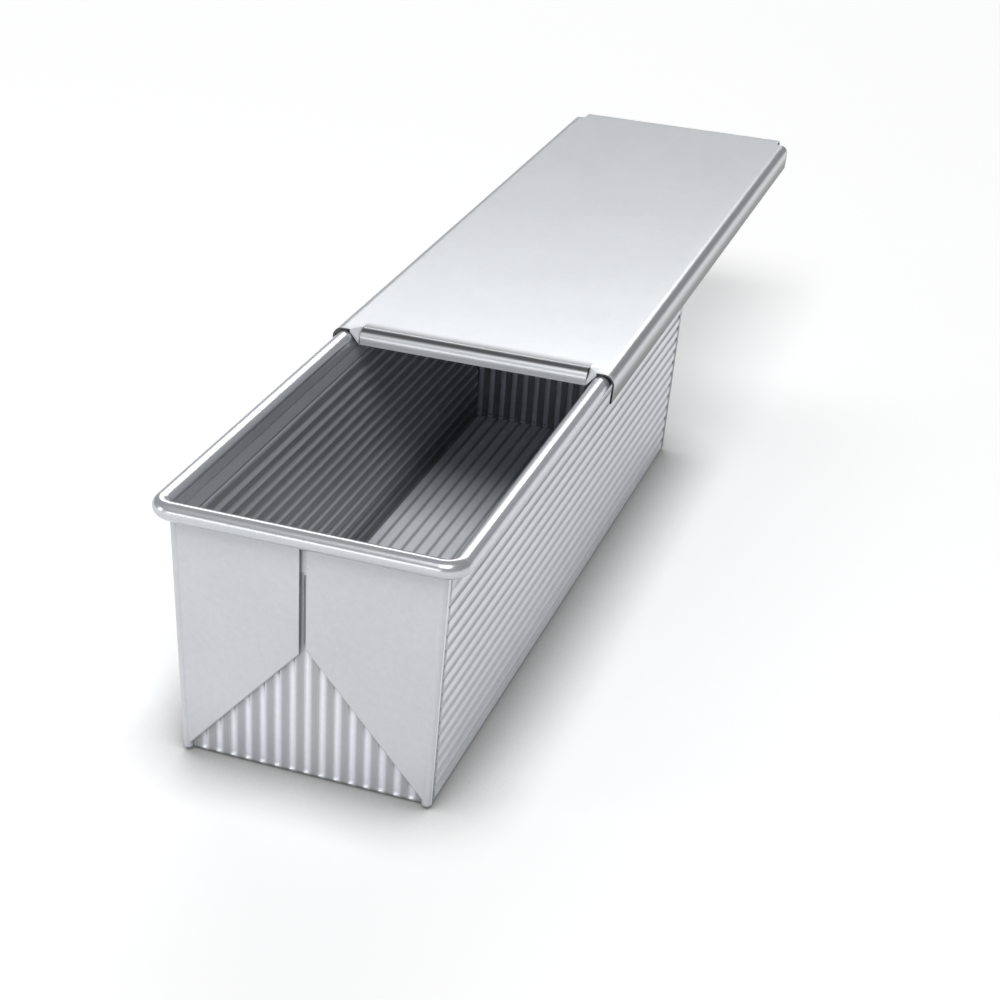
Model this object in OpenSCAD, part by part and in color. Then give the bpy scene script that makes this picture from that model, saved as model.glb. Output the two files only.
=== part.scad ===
// Loaf pan with a sliding cover, folded from fluted sheet over a wire rim.
// Millimetres. X is across the pan, Y runs along it and Z is up.
// The origin is the middle of the base's underside.

/* [Sheet] */
// Thickness of the pan's and the lid's sheet
sheet = 0.8; // [0.6:0.05:1.0]
// Outside radius of the folds between the base and the walls
fold_r = 2.3; // [1.6:0.1:3.5]

/* [Pan] */
// Width across the long walls at the neck, outside
mouth_w = 103.8; // [80:0.1:140]
// Length across the end walls at the neck, outside
mouth_l = 332.5; // [180:0.5:420]
// Height of the neck, where the walls turn out into the rim
neck_h = 97; // [70:0.5:120]
// How far each long wall leans out between the base and the neck
side_flare = 3.45; // [1:0.05:6]
// How far each end wall leans out between the base and the neck
end_flare = 1.9; // [1:0.05:5]

/* [Rim] */
// Diameter of the steel rod inside the curled rim
wire_d = 4.8; // [4:0.1:6]
// Room between the rod and the curl round it
wire_gap = 0.33; // [0.1:0.01:0.5]
// How far the sheet steps out at the neck, before it curls
neck_step = 1.07; // [0.9:0.01:1.4]
// Height of the rod's centre over the neck
neck_rise = 3.2; // [2.9:0.1:4]
// Space between the curl's cut edge and the neck
curl_gap = 0.35; // [0.2:0.05:0.6]
// Outside radius of the wall's corner under the rim
corner_r = 2.3; // [1.8:0.1:4]

/* [Flutes] */
// Distance between flutes on the base and the end walls
flute_pitch = 5.8; // [5:0.1:9]
// Distance between flutes on the long walls
side_flute_pitch = 5.9; // [5:0.1:9]
// Width of a flute where it leaves the sheet, outside
flute_w = 2.6; // [1.8:0.1:3.2]
// Depth of a flute
flute_depth = 0.65; // [0.3:0.05:0.9]
// Least distance from a flute's middle to the edge of the base
flute_edge = 7.5; // [5:0.5:15]
// Least distance from the top flute's middle to the neck
neck_band = 13.5; // [8:0.5:30]
// Height of the lowest flute's middle on the long walls
first_flute = 6.5; // [5:0.1:9]
// Plain margin between a flute's end and the fold that it runs to
flute_margin = 0.6; // [0.3:0.1:3]

/* [End flaps] */
// Space between the two flaps of an end
flap_split = 2.8; // [1:0.1:6]
// How far that space lies to the left of the middle
flap_shift = 1; // [0:0.1:2]
// Space between a flap and the end wall behind it
flap_gap = 0.1; // [0.05:0.01:0.3]
// How far that fold stands proud of the wall and of the flap
flap_fold_bulge = 0.25; // [0.15:0.05:0.4]

/* [Lid] */
// How far the lid is slid back from closed
lid_open = 183.4; // [100:0.1:200]
// How far the closed lid reaches past the rim at each end
lid_reach = 7.3; // [3:0.1:15]
// Height of the lid's sheet over the top of the rim
lid_gap = 0.32; // [0.2:0.02:1]
// Side play between the rim and each of the lid's hooks
hook_play = 1.17; // [0.5:0.01:2]
// Outside radius of the bends along the lid's edges
bend_r = 4.5; // [3.5:0.1:4.7]
// Height of a hook from the top of the lid to its lower edge
hook_drop = 12.35; // [9:0.05:16]
// How far a hook leans towards the pan at its lower edge
hook_lean = 0.6; // [0:0.05:0.9]
// Height of an end lip from the top of the lid to its lower edge
lip_drop = 6.45; // [5:0.05:7]
// How far the hooks' front ends stand in front of the front lip
hook_front = 0.5; // [0:0.1:1]
// Depth of the notch behind each hook's rear end
notch_l = 11.5; // [6:0.1:20]
// How far each notch cuts into the flat of the lid
notch_w = 2.2; // [0.5:0.1:5]
// Width across the pan of the ears, the sheet's bent corners beside the front lip
ear_w = 3.8; // [2:0.1:5]
// Slope of the ears across the pan, in degrees
ear_slope = 50; // [40:1:60]
// Space between a front ear and the rim below it
ear_gap = 0.35; // [0.3:0.05:0.6]
// Width of the slit between an ear and the front lip
ear_slit = 0.3; // [0.1:0.05:0.8]

/* [Hidden] */
$fn = 48;
// Overrun of every cut and overlap of every joined piece
lap = 0.5;

// The walls' lean, and the size of the base
side_lean = atan(side_flare / neck_h);
end_lean = atan(end_flare / neck_h);
base_w = mouth_w - 2 * side_flare;
base_l = mouth_l - 2 * end_flare;

// The curl round the rod, from the wall's outside at the neck
bead_r = wire_d / 2 + wire_gap + sheet;
curl_in_r = bead_r - sheet;
bead_out = curl_in_r + neck_step;
bead_z = neck_h + neck_rise;
bead_top = bead_z + bead_r;
bead_x = mouth_w / 2 + bead_out;
bead_y = mouth_l / 2 + bead_out;

// A flute is a round-ended bead pressed in from outside
flute_count = 2 * floor((base_w / 2 - flute_edge) / flute_pitch) + 1;
side_flute_count = floor((neck_h - neck_band - first_flute) / side_flute_pitch) + 1;
flute_r = (pow(flute_w / 2, 2) + pow(flute_depth, 2)) / (2 * flute_depth);
flute_axis = flute_r - flute_depth;
ridge_r = flute_r + sheet;

// The flaps: the gusset's fold halves the angle between its two edges
flap_t = 2 * sheet;
flap_angle = 45 + 1.5 * side_lean + 0.5 * end_lean;
flap_out = flap_gap + flap_t;
flap_fold_r = flap_out + flap_fold_bulge;
flap_top = bead_z - sqrt(pow(curl_in_r, 2) - pow(bead_out - flap_out, 2)) - wire_gap;

// The lid, from its top down and from its front lip back
lid_top = bead_top + lid_gap + sheet;
lid_l = 2 * (bead_y + bead_r + lid_reach);
lid_w = 2 * (bead_x + bead_r + hook_play + sheet);
front_y = lid_open - lid_l / 2;
back_y = lid_open + lid_l / 2;
hook_front_y = front_y - hook_front;
hook_back_y = back_y - notch_l;
flat_w = lid_w - 2 * bend_r;
back_w = flat_w - 2 * notch_w;

// The ears fold down along a slanting line, from the front lip's bend to a hook's end
ear_l = bend_r + hook_front;
ear_fold = atan(tan(ear_slope) * norm([ear_w, ear_l]) / ear_l);
ear_t = sheet * cos(ear_slope) / cos(ear_fold);
ear_reach = bead_r + ear_gap + ear_t - (lid_top - bead_z) * cos(ear_slope);
ear_x = bead_x - ear_reach / sin(ear_slope);
ear_side = ear_x - ear_w;
lip_w = 2 * (ear_side - ear_slit);

module both_sides() {
  children();
  mirror([1, 0, 0]) children();
}

module both_ends() {
  children();
  rotate([0, 0, 180]) children();
}

// Outline of the tub across a leaning wall, with the sheet's inner or outer fold
module tub_section(half, lean, inset, r, top) {
  wall_foot = half - inset / cos(lean) + inset * tan(lean);
  tangent = r * tan((90 - lean) / 2);
  bend_x = wall_foot - tangent;
  bend_z = inset + r;
  steps = 8;
  arc = [for (i = [0:steps]) let (t = -90 + (90 - lean) * i / steps)
    [bend_x + r * cos(t), bend_z + r * sin(t)]];
  rim_x = wall_foot + (top - inset) * tan(lean);
  right = concat(arc, [[rim_x, top]]);
  left = [for (i = [len(right) - 1:-1:0]) [-right[i][0], right[i][1]]];
  polygon(concat(right, left));
}

// The tub as a filled form: its outside, or with an inset its cavity
module tub(inset, r, top) {
  intersection() {
    rotate([90, 0, 0]) linear_extrude(height = mouth_l + 2 * lap, center = true)
      tub_section(base_w / 2, side_lean, inset, r, top);
    rotate([90, 0, 90]) linear_extrude(height = mouth_w + 2 * lap, center = true)
      tub_section(base_l / 2, end_lean, inset, r, top);
  }
}

module cavity() {
  tub(sheet, fold_r - sheet, neck_h + lap);
}

// A bar with round ends, lying along X from -half to half
module capsule(half, r) {
  rotate([0, 90, 0]) {
    cylinder(h = 2 * half, r = r, center = true);
    translate([0, 0, -half]) sphere(r = r);
    translate([0, 0, half]) sphere(r = r);
  }
}

// A wall lies on XY with its outside up at zero; each flute is given by
// its middle's place and half its straight length
module flute_ridges(flutes, turn) {
  size = mouth_l + mouth_w;
  intersection() {
    for (f = flutes) translate([f[0], f[1], flute_axis]) rotate([0, 0, turn])
      capsule(f[2], ridge_r);
    translate([-size / 2, -size / 2, -2 * sheet - flute_depth])
      cube([size, size, 1.5 * sheet + flute_depth]);
  }
}

module flute_grooves(flutes, turn) {
  for (f = flutes) translate([f[0], f[1], flute_axis]) rotate([0, 0, turn])
    capsule(f[2], flute_r);
}

// Frames of the right wall, the front wall and the base, outside up
module on_side() {
  translate([base_w / 2, 0, 0]) rotate([0, side_lean, 0]) rotate([90, 0, 90]) children();
}

module on_end() {
  translate([0, -base_l / 2, 0]) rotate([90 + end_lean, 0, 0]) children();
}

module on_base() {
  rotate([180, 0, 0]) children();
}

// Half length of the flat between the end walls, and of a flute along it
function flat_half(z) = base_l / 2 - sheet + z * tan(end_lean);
function side_flute_half(z) = flat_half(z) - flute_margin - flute_w / 2;

// The long walls' flutes lie along the pan, the others across the ends and up
side_flutes = [for (i = [0:side_flute_count - 1])
  let (z = first_flute + i * side_flute_pitch) [0, z, side_flute_half(z)]];
flute_xs = [for (i = [0:flute_count - 1]) (i - (flute_count - 1) / 2) * flute_pitch];
base_flute_half = base_l / 2 - fold_r - flute_margin - flute_w / 2;
base_flutes = [for (x = flute_xs) [x, 0, base_flute_half]];
end_flute_low = fold_r - flute_margin + flute_w / 2;
end_flute_high = first_flute + (side_flute_count - 1) * side_flute_pitch;
end_flutes = [for (x = flute_xs)
  [x, (end_flute_low + end_flute_high) / 2, (end_flute_high - end_flute_low) / 2]];

module fluted_tub() {
  difference() {
    union() {
      difference() {
        tub(0, fold_r, neck_h);
        cavity();
      }
      both_sides() on_side() flute_ridges(side_flutes, 0);
      both_ends() on_end() flute_ridges(end_flutes, 90);
      on_base() flute_ridges(base_flutes, 90);
    }
    both_sides() on_side() flute_grooves(side_flutes, 0);
    both_ends() on_end() flute_grooves(end_flutes, 90);
    on_base() flute_grooves(base_flutes, 90);
  }
}

// The upright edge between the right wall and the front wall
corner_lean = atan(tan(end_lean) * cos(side_lean));

module on_corner() {
  translate([base_w / 2, -base_l / 2, 0]) rotate([0, side_lean, 0])
    rotate([corner_lean, 0, 0]) children();
}

// The fold of the outer layer, from the long wall round to the flap
module flap_fold() {
  foot = flap_fold_r + flap_gap;
  on_corner() translate([flap_fold_bulge - flap_fold_r, 0, foot]) {
    cylinder(h = neck_h - foot, r = flap_fold_r);
    sphere(r = flap_fold_r);
  }
}

// One flap, seen from the front: its slanting edge is the gusset's fold
module flap(side_x, seam_x) {
  nose_r = (flap_t + flap_gap) / 2;
  rise = nose_r / cos(flap_angle);
  edge_x = side_x - flap_fold_r + flap_fold_bulge;
  top_x = edge_x + flap_top * tan(side_lean);
  fold_l = (side_x - seam_x) / cos(flap_angle);
  function fold_z(x) = (side_x - x) * tan(flap_angle) + rise;
  translate([0, 0, flap_gap]) linear_extrude(height = flap_t)
    polygon([[edge_x, fold_z(edge_x)], [top_x, flap_top],
      [seam_x, flap_top], [seam_x, fold_z(seam_x)]]);
  intersection() {
    translate([side_x, rise, flap_gap + flap_t / 2]) rotate([0, 0, 180 - flap_angle])
      rotate([0, 90, 0]) cylinder(h = 2 * fold_l, r = nose_r, center = true);
    translate([seam_x, 0, 0]) cube([edge_x - seam_x, neck_h, 2 * flap_t]);
  }
}

module end_flaps() {
  seam_l = -flap_shift - flap_split / 2;
  seam_r = -flap_shift + flap_split / 2;
  on_end() flap(base_w / 2, seam_r);
  on_end() mirror([1, 0, 0]) flap(base_w / 2, -seam_l);
  both_sides() flap_fold();
}

// Section of the neck and the open curl, outward from the wall's outside
module rim_section() {
  gap_angle = 180 + acos((bead_out - curl_gap - neck_step * 0.5) / bead_r);
  far = 2 * bead_r;
  translate([bead_out, bead_z]) difference() {
    circle(r = bead_r);
    circle(r = curl_in_r);
    polygon([[0, 0], [-far, 0], [far * cos(gap_angle), far * sin(gap_angle)]]);
  }
  polygon([[-0.9 * sheet, neck_h - lap], [-sheet, neck_h], [bead_out - bead_r, bead_z],
    [bead_out - curl_in_r, bead_z], [0, neck_h], [-0.1 * sheet, neck_h - lap]]);
}

// Straight and round stretches of a closed path round the mouth
module round_the_mouth() {
  run_x = mouth_w / 2 - corner_r;
  run_y = mouth_l / 2 - corner_r;
  for (s = [0, 180]) rotate([0, 0, s]) {
    translate([mouth_w / 2, run_y, 0]) rotate([90, 0, 0])
      linear_extrude(height = 2 * run_y) children();
    translate([run_x, -mouth_l / 2, 0]) rotate([90, 0, -90])
      linear_extrude(height = 2 * run_x) children();
    translate([run_x, run_y, 0]) rotate_extrude(angle = 90)
      translate([corner_r, 0]) children();
    translate([-run_x, run_y, 0]) rotate([0, 0, 90]) rotate_extrude(angle = 90)
      translate([corner_r, 0]) children();
  }
}

module pan_body() {
  color("silver") {
    fluted_tub();
    difference() {
      both_ends() end_flaps();
      cavity();
    }
    round_the_mouth() rim_section();
  }
}

module rim_wire() {
  color("dimgray") round_the_mouth() translate([bead_out, bead_z]) circle(r = wire_d / 2);
}

// Section of a sheet's edge: it leaves the flat at the origin, bends and runs down,
// with its lower end moved in
module bent_section(drop, move_in) {
  far = 2 * bend_r;
  leg = drop - bend_r;
  translate([0, -bend_r]) {
    intersection() {
      difference() {
        circle(r = bend_r);
        circle(r = bend_r - sheet);
      }
      square(far);
    }
    polygon([[bend_r - sheet, 0], [bend_r, 0],
      [bend_r - move_in, -leg], [bend_r - sheet - move_in, -leg]]);
  }
  translate([-lap, -sheet]) square([lap, sheet]);
}

// That edge, running along Y
module bent_edge(length, drop, move_in) {
  translate([0, length, 0]) rotate([90, 0, 0])
    linear_extrude(height = length) bent_section(drop, move_in);
}

// The flat of the lid, notched at the rear and cut slanting for the ears
module lid_flat() {
  right = [[ear_side, front_y + bend_r], [ear_x, hook_front_y], [flat_w / 2, hook_front_y],
    [flat_w / 2, hook_back_y], [back_w / 2, hook_back_y], [back_w / 2, back_y - bend_r]];
  left = [for (i = [len(right) - 1:-1:0]) [-right[i][0], right[i][1]]];
  translate([0, 0, lid_top - sheet]) linear_extrude(height = sheet) polygon(concat(right, left));
}

// A small corner of the sheet, bent down between the front lip and a hook
module ear() {
  far = 2 * bend_r;
  intersection() {
    translate([ear_side, front_y + bend_r, lid_top]) rotate([0, 0, -atan(ear_l / ear_w)])
      rotate([ear_fold, 0, 0]) translate([-far, -far, -sheet]) cube([2 * far, 2 * far, sheet]);
    translate([0, 0, lid_top - far]) linear_extrude(height = far)
      polygon([[ear_side, hook_front_y], [ear_x + sheet, hook_front_y],
        [ear_side + sheet, front_y + bend_r], [ear_side, front_y + bend_r]]);
  }
}

module lid() {
  color("gainsboro") {
    lid_flat();
    both_sides() {
      translate([flat_w / 2, hook_front_y, lid_top])
        bent_edge(hook_back_y - hook_front_y, hook_drop, hook_lean);
      ear();
    }
    translate([-lip_w / 2, front_y + bend_r, lid_top]) rotate([0, 0, -90])
      bent_edge(lip_w, lip_drop, 0);
    translate([back_w / 2, back_y - bend_r, lid_top]) rotate([0, 0, 90])
      bent_edge(back_w, lip_drop, 0);
  }
}

pan_body();
rim_wire();
lid();
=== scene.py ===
"""Loaf pan with a sliding lid, in satin aluminised steel, on a white studio floor."""

import math
from collections import namedtuple

import bpy
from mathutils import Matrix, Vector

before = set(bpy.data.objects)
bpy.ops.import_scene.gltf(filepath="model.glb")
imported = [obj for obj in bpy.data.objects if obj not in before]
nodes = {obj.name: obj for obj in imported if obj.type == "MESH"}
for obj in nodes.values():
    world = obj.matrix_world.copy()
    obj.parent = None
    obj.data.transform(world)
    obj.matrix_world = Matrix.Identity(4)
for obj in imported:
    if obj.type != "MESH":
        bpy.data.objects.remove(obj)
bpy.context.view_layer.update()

MM = 0.001

# Sizes of the pan and the lid, as in the CAD model
SHEET = 0.8 * MM
BASE_HALF_W = 48.45 * MM
BASE_HALF_L = 164.35 * MM
SIDE_LEAN = 3.45 / 97
END_LEAN = 1.9 / 97
FLUTE_PITCH = 5.8 * MM
SIDE_FLUTE_PITCH = 5.9 * MM
FIRST_FLUTE = 6.5 * MM
TOP_FLUTE = 83.2 * MM
FLUTE_END = 1.9 * MM
NECK = 96.5 * MM
LID_TOP = 104.85 * MM
LID_FLAT_HALF_W = 56.7 * MM
BEND = 4.5 * MM
HOOK_FRONT = 2.02 * MM
EAR_IN = 49.4 * MM
EAR_OUT = 53.5 * MM
EAR_LENGTH = 5.0 * MM

# The side walls' top flute, which the CAD model leaves out
TOP_SIDE_FLUTE = 89.1 * MM
TOP_SIDE_FLUTE_HALF_W = 1.4 * MM
TOP_SIDE_FLUTE_DEPTH = 0.5 * MM

# How deep below a wall's outer face a place still belongs to the wall, past the ridges on its
# inside, and how deep it still belongs to that face
SIDE_DEPTH = 2.6 * SHEET
END_DEPTH = 2.2 * SHEET
BASE_DEPTH = 2.2 * SHEET
OUTER_SKIN = 0.9 * SHEET

# How far past a wall's outer face a place is on a flap or a fold
FLAP_OUT = 0.06 * MM
FOLD_OUT = 0.08 * MM

# How far back from its front a hook is cut edge, and how far out from the lid's flat its face starts
CUT_BACK = 0.04 * MM
HOOK_FACE_OUT = 0.75 * BEND

# Painted light and shade, as shares of the steel's own tone: light and dark lines along the flutes,
# darker flaps and inner foot, bright folds, dark strips beside them and dark crevices, and on the
# lid dark cut edges, hook insides and bend, hooks darker low down and bright ears. A flute's goes
# from its edge's to its middle's, and its fade says how far from its middle line each of the two is
# reached.
Flute = namedtuple("Flute", "edge middle fade")
SIDE_OUTSIDE = Flute(1.3, 0.95, (2.3 * MM, 0.5 * MM))
SIDE_INSIDE = Flute(0.5, 1.1, (1.6 * MM, 0.3 * MM))
END_OUTSIDE = Flute(0.6, 1.25, (2.2 * MM, 0.3 * MM))
END_INSIDE = Flute(0.5, 1.35, (1.7 * MM, 0.8 * MM))
BASE_INSIDE = Flute(1.32, 0.66, (1.6 * MM, 0.3 * MM))
INNER_FOOT_PAINTED_SHADE = 0.45
FLAP_PAINTED_SHADE = 0.86
FOLD_PAINTED_HIGHLIGHT = 1.3
BESIDE_FOLD_PAINTED_SHADE = 0.5
CREVICE_PAINTED_SHADE = 0.3
CUT_EDGE_PAINTED_SHADE = 0.12
HOOK_LOW_PAINTED_SHADE = 0.1
BEHIND_LIP_PAINTED_SHADE = 0.3
EAR_PAINTED_HIGHLIGHT = 1.15

# How far beside the flutes' middle lines their painted light and shade lie
END_OUTSIDE_SHIFT = 0.4 * MM
BASE_INSIDE_SHIFT = -1.2 * MM

# Soft edges of the places with painted shade, the top side flute and the lip's satin face, from
# where a share is 0 to where it is 1: up from the floor, out from the outer face of an end wall, and
# back along the lid, whose front is at HOOK_FRONT
INNER_FOOT_UP = (5.0 * MM, 22.0 * MM)
HOOK_LOW_PAINTED_SHADE_UP = (103.0 * MM, 95.0 * MM)
BESIDE_FOLD_INNER = (-4.2 * MM, -2.6 * MM)
BESIDE_FOLD_OUTER = (-1.2 * MM, -2.0 * MM)
TOP_SIDE_FLUTE_END = (-5.0 * MM, -8.0 * MM)
LIP_FACE_BACK = (4.4 * MM, 3.4 * MM)
BEHIND_LIP_FRONT = (3.2 * MM, 4.2 * MM)
BEHIND_LIP_REAR = (13.5 * MM, 5.5 * MM)

# Shares of the steel's metallic look that satin places keep
BASE_SATIN = 0.1
EAR_SATIN = 0.15
LIP_SATIN = 0.45

# The steel's own look. Its grain is in noise cells per metre, fine across the pan and long along it.
GRAIN = (1200.0, 30.0, 1200.0)
GRAIN_STRENGTH = 0.06
GRAIN_HEIGHT = 0.2 * MM
CLOUD_SCALE = 25.0
MOTTLE_SHARE = 0.6
DARK_AT, LIGHT_AT = 0.36, 0.64
SMOOTH_AT, ROUGH_AT = 0.3, 0.7
# Painted shade in the steel's crevices: how far it reaches and how it fades
CREVICE_REACH = 5.0 * MM
CREVICE_FADE = (0.15, 0.75)


# Materials


def colour(r, g, b):
    """A colour given as the eye sees it, from 0 to 1, turned into light values."""
    light = [c / 12.92 if c <= 0.04045 else ((c + 0.055) / 1.055) ** 2.4 for c in (r, g, b)]
    return (*light, 1.0)


class Graph:
    """A short way to build a material's nodes."""

    def __init__(self, tree):
        self.tree = tree
        tree.nodes.clear()

    def add(self, kind, links=None, **settings):
        node = self.tree.nodes.new(kind)
        for name, value in settings.items():
            setattr(node, name, value)
        for socket, value in (links or {}).items():
            if isinstance(value, bpy.types.NodeSocket):
                self.tree.links.new(value, node.inputs[socket])
            else:
                node.inputs[socket].default_value = value
        return node

    def math(self, operation, a, b=None, c=None):
        links = {i: v for i, v in enumerate((a, b, c)) if v is not None}
        return self.add("ShaderNodeMath", links, operation=operation).outputs[0]

    def product(self, first, *others):
        for other in others:
            first = self.math("MULTIPLY", first, other)
        return first

    def greatest(self, first, *others):
        for other in others:
            first = self.math("MAXIMUM", first, other)
        return first

    def more(self, value, limit):
        return self.math("GREATER_THAN", value, limit)

    def less(self, value, limit):
        return self.math("LESS_THAN", value, limit)

    def limits(self, value, low, high, smooth=True):
        """0 where the value is at low or past it, 1 at high or past it. Low may be the greater."""
        links = {"Value": value, "From Min": low, "From Max": high}
        kind = "SMOOTHSTEP" if smooth else "LINEAR"
        return self.add("ShaderNodeMapRange", links, interpolation_type=kind).outputs["Result"]

    def steps(self, value, first, pitch):
        """Distance from the nearest of a row of lines."""
        at = self.math("FRACT", self.math("MULTIPLY_ADD", value, 1 / pitch, 0.5 - first / pitch))
        return self.product(self.math("ABSOLUTE", self.math("SUBTRACT", at, 0.5)), pitch)

    def between(self, share, a, b):
        """a where the share is 0, b where it is 1."""
        return self.math("MULTIPLY_ADD", share, b - a, a)

    def choose(self, share, a, b):
        """The same, where a or b may come from a node."""
        return self.math("MULTIPLY_ADD", share, self.math("SUBTRACT", b, a), a)

    def ramp(self, value, *stops):
        """A colour that goes from one stop to another, each a place and its colour."""
        node = self.add("ShaderNodeValToRGB", {"Fac": value})
        for element, (place, shade) in zip(node.color_ramp.elements, stops):
            element.position = place
            element.color = shade
        return node.outputs["Color"]

    def shaded(self, tone, shade):
        """A colour times a shade."""
        shades = self.add("ShaderNodeCombineXYZ", {0: shade, 1: shade, 2: shade}).outputs[0]
        links = {"Fac": 1.0, "Color1": tone, "Color2": shades}
        return self.add("ShaderNodeMixRGB", links, blend_type="MULTIPLY").outputs[0]

    def openness(self, reach, samples):
        """1 in the open, less where something is within reach."""
        node = self.add("ShaderNodeAmbientOcclusion", {"Distance": reach}, samples=samples)
        return node.outputs["AO"]


def out_from(graph, along, z, half, lean):
    """How far out a place is from a leaning wall's outer face: below 0 in the sheet or the pan."""
    from_foot = graph.math("SUBTRACT", graph.math("ABSOLUTE", along), half)
    return graph.math("MULTIPLY_ADD", z, -lean, from_foot)


def flute_painted_light(graph, distance, flute):
    """The painted light and shade at a distance from the nearest flute's middle line."""
    return graph.between(graph.limits(distance, *flute.fade), flute.edge, flute.middle)


def pan_painted_light(graph, x, y, z):
    """The pan's painted light and shade, along its flutes, flaps and folds, and its metallic share.
    """
    side = out_from(graph, x, z, BASE_HALF_W, SIDE_LEAN)
    end = out_from(graph, y, z, BASE_HALF_L, END_LEAN)
    on_side = graph.more(side, -SIDE_DEPTH)
    on_end = graph.more(end, -END_DEPTH)
    on_base = graph.less(z, BASE_DEPTH)
    side_skin = graph.more(side, -OUTER_SKIN)
    end_skin = graph.more(end, -OUTER_SKIN)
    on_flap = graph.more(end, FLAP_OUT)
    below_rim = graph.less(z, NECK)

    # The flutes: painted light and dark lines along them
    up = graph.steps(z, FIRST_FLUTE, SIDE_FLUTE_PITCH)
    side_outside = flute_painted_light(graph, up, SIDE_OUTSIDE)
    # Painted shade darkens the inner side walls towards their foot
    side_inside = graph.product(
        flute_painted_light(graph, up, SIDE_INSIDE),
        graph.between(graph.limits(z, *INNER_FOOT_UP), INNER_FOOT_PAINTED_SHADE, 1.0),
    )
    side_shade = graph.choose(side_skin, side_inside, side_outside)
    end_outside = flute_painted_light(graph, graph.steps(x, END_OUTSIDE_SHIFT, FLUTE_PITCH), END_OUTSIDE)
    end_inside = flute_painted_light(graph, graph.steps(x, 0.0, FLUTE_PITCH), END_INSIDE)
    end_shade = graph.choose(end_skin, end_inside, end_outside)
    base_shade = flute_painted_light(graph, graph.steps(x, BASE_INSIDE_SHIFT, FLUTE_PITCH), BASE_INSIDE)
    fluted = graph.choose(on_end, graph.choose(on_side, base_shade, side_shade), end_shade)
    last_flute = graph.choose(on_side, TOP_FLUTE, TOP_SIDE_FLUTE)
    has_flutes = graph.product(
        graph.less(z, graph.math("ADD", last_flute, FLUTE_END)),
        graph.math("SUBTRACT", 1.0, on_flap),
        graph.greatest(on_side, on_end, on_base),
    )

    # The flaps' painted shade, the upright folds' painted highlight and the painted dark strip
    # beside each of these folds
    on_fold = graph.product(below_rim, graph.more(side, FOLD_OUT))
    plain = graph.choose(on_fold, graph.between(on_flap, 1.0, FLAP_PAINTED_SHADE), FOLD_PAINTED_HIGHLIGHT)
    beside_fold = graph.product(
        graph.limits(end, *BESIDE_FOLD_INNER),
        graph.limits(end, *BESIDE_FOLD_OUTER),
        graph.product(below_rim, graph.less(side, FOLD_OUT)),
        side_skin,
    )

    shade = graph.product(
        graph.choose(has_flutes, plain, fluted),
        graph.between(beside_fold, 1.0, BESIDE_FOLD_PAINTED_SHADE),
    )
    off_walls = graph.math("SUBTRACT", 1.0, graph.greatest(on_side, on_end))
    return shade, graph.choose(graph.product(on_base, off_walls), 1.0, BASE_SATIN)


def pan_relief(graph, x, y, z):
    """The side walls' top flute: a shallow groove outside and a ridge inside. In metres."""
    side = out_from(graph, x, z, BASE_HALF_W, SIDE_LEAN)
    end = out_from(graph, y, z, BASE_HALF_L, END_LEAN)
    on_side = graph.more(side, -SIDE_DEPTH)
    inside = graph.less(side, -0.5 * SHEET)
    away = graph.math("ABSOLUTE", graph.math("SUBTRACT", z, TOP_SIDE_FLUTE))
    flute = graph.product(
        graph.limits(away, TOP_SIDE_FLUTE_HALF_W, 0.0),
        graph.product(on_side, graph.limits(end, *TOP_SIDE_FLUTE_END)),
    )
    height = graph.between(inside, -TOP_SIDE_FLUTE_DEPTH, TOP_SIDE_FLUTE_DEPTH)
    return graph.product(flute, height)


def lid_painted_light(graph, x, y, z):
    """The lid's painted light and shade and its metallic share. Its cut edges, its hooks' insides
    and the bend behind its front lip get painted shade, its hooks get painted shade towards their
    lower edge and its ears a painted highlight; its ears and its lip are satin."""
    across = graph.math("ABSOLUTE", x)
    out = graph.greatest(graph.math("SUBTRACT", across, LID_FLAT_HALF_W), 0.0)
    up = graph.greatest(graph.math("SUBTRACT", z, LID_TOP - BEND), 0.0)
    reach = graph.math("POWER", graph.math("MULTIPLY_ADD", out, out, graph.product(up, up)), 0.5)

    past_ear = graph.more(across, EAR_OUT)
    # Painted shade on the hooks' cut edges and insides
    in_hook = graph.product(past_ear, graph.less(reach, BEND - OUTER_SKIN))
    on_cut = graph.product(past_ear, graph.less(y, HOOK_FRONT + CUT_BACK))
    # Painted shade on the bend behind the front lip
    behind_lip = graph.product(
        graph.limits(y, *BEHIND_LIP_REAR),
        graph.limits(y, *BEHIND_LIP_FRONT),
        graph.less(across, EAR_IN),
    )
    # Painted shade, darker towards the hooks' lower edges
    hook_low_shade = graph.product(graph.limits(z, *HOOK_LOW_PAINTED_SHADE_UP), graph.more(out, HOOK_FACE_OUT))
    # Painted highlight on the ears
    on_ear = graph.product(
        graph.less(y, HOOK_FRONT + EAR_LENGTH),
        graph.more(across, EAR_IN),
        graph.less(across, EAR_OUT),
    )

    shade = graph.product(
        graph.between(graph.greatest(in_hook, on_cut), 1.0, CUT_EDGE_PAINTED_SHADE),
        graph.between(hook_low_shade, 1.0, HOOK_LOW_PAINTED_SHADE),
        graph.between(behind_lip, 1.0, BEHIND_LIP_PAINTED_SHADE),
        graph.between(on_ear, 1.0, EAR_PAINTED_HIGHLIGHT),
    )
    metallic = graph.product(
        graph.between(on_ear, 1.0, EAR_SATIN),
        graph.between(graph.limits(y, *LIP_FACE_BACK), 1.0, LIP_SATIN),
    )
    return shade, metallic


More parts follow.
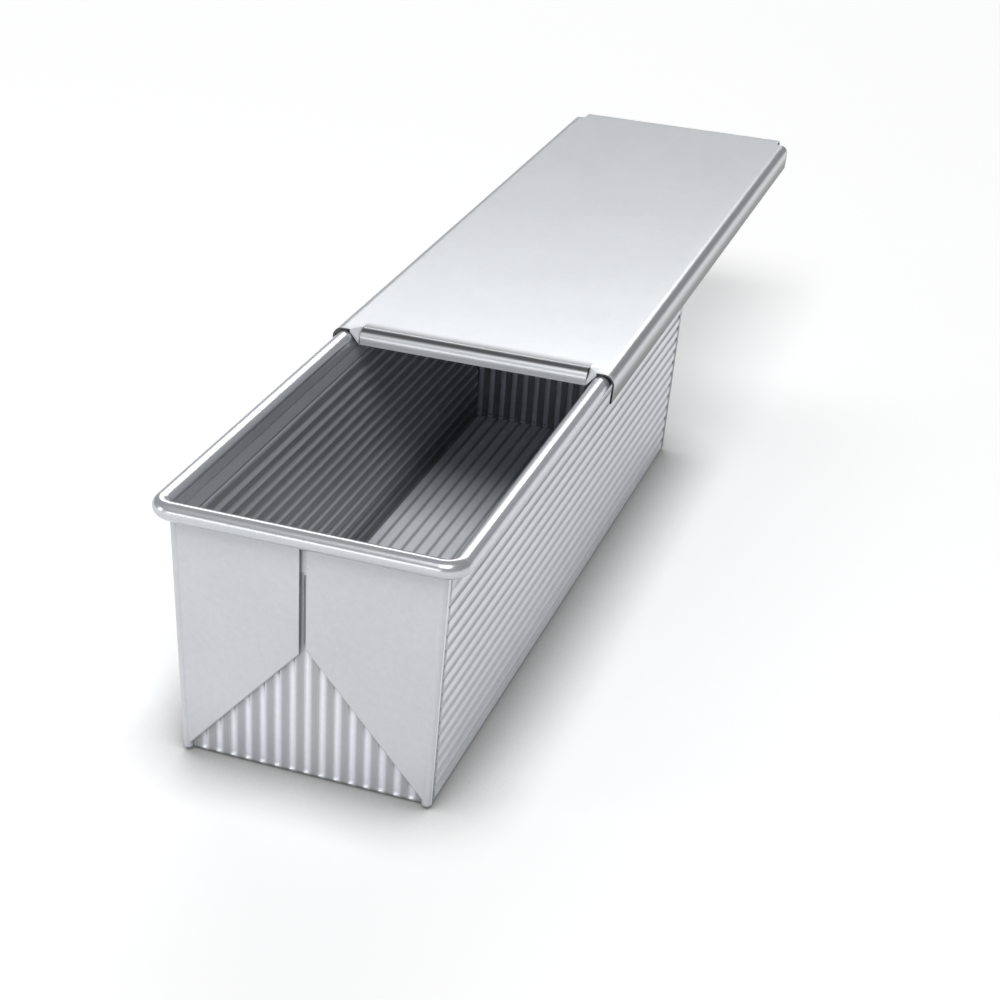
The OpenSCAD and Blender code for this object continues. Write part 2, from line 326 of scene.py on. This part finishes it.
def satin_steel(name, light, dark, roughness, spread, metallic, mottle_scale,
                painted_light=None, rolled=None, relief=None):
    """Satin sheet steel with painted shade in its crevices: mottled by its coating, with a fine
    rolling grain along the pan. Rolled gives the height above which the rolling of the rim has
    polished it, and its roughness and metallic look there."""
    material = bpy.data.materials.new(name)
    material.use_nodes = True
    graph = Graph(material.node_tree)
    place = graph.add("ShaderNodeTexCoord").outputs["Object"]
    x, y, z = graph.add("ShaderNodeSeparateXYZ", {0: place}).outputs

    def noise(vector, scale, detail, **others):
        links = {"Vector": vector, "Scale": scale, "Detail": detail, **others}
        return graph.add("ShaderNodeTexNoise", links).outputs["Fac"]

    grain_place = graph.add("ShaderNodeMapping", {"Vector": place, "Scale": GRAIN}).outputs["Vector"]
    grain = noise(grain_place, scale=1.0, detail=3.0)
    mottle = noise(place, mottle_scale, detail=6.0, Roughness=0.65)
    cloud = noise(place, CLOUD_SCALE, detail=3.0)
    mixed = graph.math(
        "ADD", graph.product(mottle, MOTTLE_SHARE), graph.product(cloud, 1.0 - MOTTLE_SHARE)
    )
    tone = graph.ramp(mixed, (DARK_AT, dark), (LIGHT_AT, light))

    # Painted shade, darker where something is within reach
    in_open = graph.limits(graph.openness(CREVICE_REACH, samples=4), *CREVICE_FADE)
    shade = graph.between(in_open, CREVICE_PAINTED_SHADE, 1.0)
    # Painted light and shade of the pan or the lid, and its metallic share
    if painted_light:
        painted_light_share, metallic_share = painted_light(graph, x, y, z)
        shade = graph.product(shade, painted_light_share)
        metallic = graph.product(metallic_share, metallic)

    links = {"Value": mottle, "From Min": SMOOTH_AT, "From Max": ROUGH_AT}
    links.update({"To Min": roughness - spread, "To Max": roughness + spread})
    rough = graph.add("ShaderNodeMapRange", links).outputs["Result"]
    if rolled:
        height, rolled_roughness, rolled_metallic = rolled
        above = graph.limits(z, height - 0.5 * SHEET, height + 0.5 * SHEET)
        rough = graph.choose(above, rough, rolled_roughness)
        metallic = graph.choose(above, metallic, rolled_metallic)

    links = {"Height": grain, "Strength": GRAIN_STRENGTH, "Distance": GRAIN_HEIGHT}
    bump = graph.add("ShaderNodeBump", links).outputs["Normal"]
    if relief:
        links = {"Height": relief(graph, x, y, z), "Strength": 1.0, "Distance": 1.0, "Normal": bump}
        bump = graph.add("ShaderNodeBump", links).outputs["Normal"]

    links = {"Base Color": graph.shaded(tone, shade)}
    links.update({"Metallic": metallic, "Roughness": rough, "Normal": bump})
    shader = graph.add("ShaderNodeBsdfPrincipled", links)
    graph.add("ShaderNodeOutputMaterial", {"Surface": shader.outputs[0]})
    return material


def dress(node, material):
    """Gives every material slot of a CAD node the same material."""
    slots = nodes[node].data.materials
    for i in range(len(slots)):
        slots[i] = material
    if not len(slots):
        slots.append(material)


pan_steel = satin_steel(
    "pan_steel", colour(0.86, 0.87, 0.89), colour(0.83, 0.84, 0.86),
    roughness=0.33, spread=0.04, metallic=0.3, mottle_scale=420.0,
    painted_light=pan_painted_light, rolled=(NECK, 0.26, 0.7), relief=pan_relief,
)
lid_steel = satin_steel(
    "lid_steel", colour(0.85, 0.86, 0.87), colour(0.83, 0.84, 0.855),
    roughness=0.30, spread=0.02, metallic=0.9, mottle_scale=300.0, painted_light=lid_painted_light,
)
rod_steel = satin_steel(
    "rod_steel", colour(0.6, 0.6, 0.61), colour(0.5, 0.5, 0.51),
    roughness=0.42, spread=0.05, metallic=0.9, mottle_scale=500.0,
)
dress("pan_body", pan_steel)
dress("lid", lid_steel)
dress("rim_wire", rod_steel)


# Studio

PAPER = (0.9, 0.9, 0.9, 1.0)
PAPER_LIFT = 0.24
CONTACT_REACH = 35.0 * MM
CONTACT_FADE = (0.5, 1.0)
CONTACT_PAINTED_SHADOW = 0.38
FLOOR_SIDE = 40.0
FLOOR_Z = -0.2 * MM
ROOM = (0.97, 0.98, 1.0, 1.0)
ROOM_BRIGHTNESS = 0.27


def floor_material():
    """White paper with a painted shadow close to the pan, and lifted a little for what looks
    straight at it or mirrors it."""
    material = bpy.data.materials.new("floor_white")
    material.use_nodes = True
    graph = Graph(material.node_tree)
    light_path = graph.add("ShaderNodeLightPath").outputs
    seen = graph.greatest(
        light_path["Is Camera Ray"], light_path["Is Glossy Ray"], light_path["Is Transmission Ray"]
    )
    # Painted shadow on the floor, darker where the pan is near
    in_open = graph.limits(graph.openness(CONTACT_REACH, samples=8), *CONTACT_FADE, smooth=False)
    white = graph.shaded(PAPER, graph.between(in_open, CONTACT_PAINTED_SHADOW, 1.0))
    paper = graph.add("ShaderNodeBsdfDiffuse", {"Color": white})
    lift = graph.add("ShaderNodeEmission", {"Color": white, "Strength": PAPER_LIFT})
    none = graph.add("ShaderNodeEmission", {"Strength": 0.0})
    lifted = graph.add("ShaderNodeMixShader", {0: seen, 1: none.outputs[0], 2: lift.outputs[0]})
    both = graph.add("ShaderNodeAddShader", {0: paper.outputs[0], 1: lifted.outputs[0]})
    graph.add("ShaderNodeOutputMaterial", {"Surface": both.outputs[0]})
    return material


bpy.ops.mesh.primitive_plane_add(size=1.0, location=(0.0, 0.0, FLOOR_Z))
floor = bpy.context.object
floor.name = "floor"
floor.scale = (FLOOR_SIDE, FLOOR_SIDE, 1.0)
floor.data.materials.append(floor_material())


def room():
    """The studio room round the lamps, an even pale grey."""
    made = bpy.data.worlds.new("studio")
    bpy.context.scene.world = made
    made.use_nodes = True
    graph = Graph(made.node_tree)
    background = graph.add("ShaderNodeBackground", {"Color": ROOM, "Strength": ROOM_BRIGHTNESS})
    graph.add("ShaderNodeOutputWorld", {"Surface": background.outputs[0]})


room()

LAMP_DISTANCE = 5.0

# Name, azimuth, elevation, width and height in degrees, brightness
SOFTBOXES = [
    ("front_softbox", 12.0, 57.0, 34.0, 26.0, 6.4),
    ("back_softbox", 198.0, 36.0, 44.0, 14.0, 4.6),
    ("low_softbox", 343.0, 10.0, 30.0, 14.0, 2.6),
    ("left_softbox", 300.0, 14.0, 16.0, 24.0, 3.0),
]


def softbox(name, azimuth, elevation, width, height, brightness):
    """A lamp that faces the pan. Azimuth 0 is in front of the pan and 90 to its right; its width
    and height are degrees seen from the pan. A brightness of 1 is as bright as white paper."""
    a, e = math.radians(azimuth), math.radians(elevation)
    toward = Vector((math.sin(a) * math.cos(e), -math.cos(a) * math.cos(e), math.sin(e)))
    sides = [2 * LAMP_DISTANCE * math.tan(math.radians(side / 2)) for side in (width, height)]
    data = bpy.data.lights.new(name, "AREA")
    data.shape = "RECTANGLE"
    data.size, data.size_y = sides
    data.energy = brightness * math.pi * data.size * data.size_y
    lamp = bpy.data.objects.new(name, data)
    bpy.context.scene.collection.objects.link(lamp)
    lamp.location = toward * LAMP_DISTANCE
    lamp.rotation_euler = toward.to_track_quat("Z", "Y").to_euler()


for values in SOFTBOXES:
    softbox(*values)


# Camera: found by fitting the pan's edges in the photograph

PHOTO_SIDE = 1000.0
FOCAL_PIXELS = 2056.0
CENTRE_PIXEL = (436.94, 479.34)
SENSOR_MM = 36.0
CAMERA_PLACE = (0.24157, -0.73892, 0.42764)
CAMERA_TURN = (1.1144, -0.0426, 0.3507)


def camera():
    data = bpy.data.cameras.new("camera")
    made = bpy.data.objects.new("camera", data)
    bpy.context.scene.collection.objects.link(made)
    made.location = CAMERA_PLACE
    made.rotation_euler = CAMERA_TURN
    data.sensor_width = SENSOR_MM
    data.lens = FOCAL_PIXELS * SENSOR_MM / PHOTO_SIDE
    data.shift_x = (PHOTO_SIDE / 2 - CENTRE_PIXEL[0]) / PHOTO_SIDE
    data.shift_y = (CENTRE_PIXEL[1] - PHOTO_SIDE / 2) / PHOTO_SIDE
    data.clip_start = 0.01
    data.clip_end = 50.0
    bpy.context.scene.camera = made


camera()
bpy.context.scene.view_settings.view_transform = "Standard"
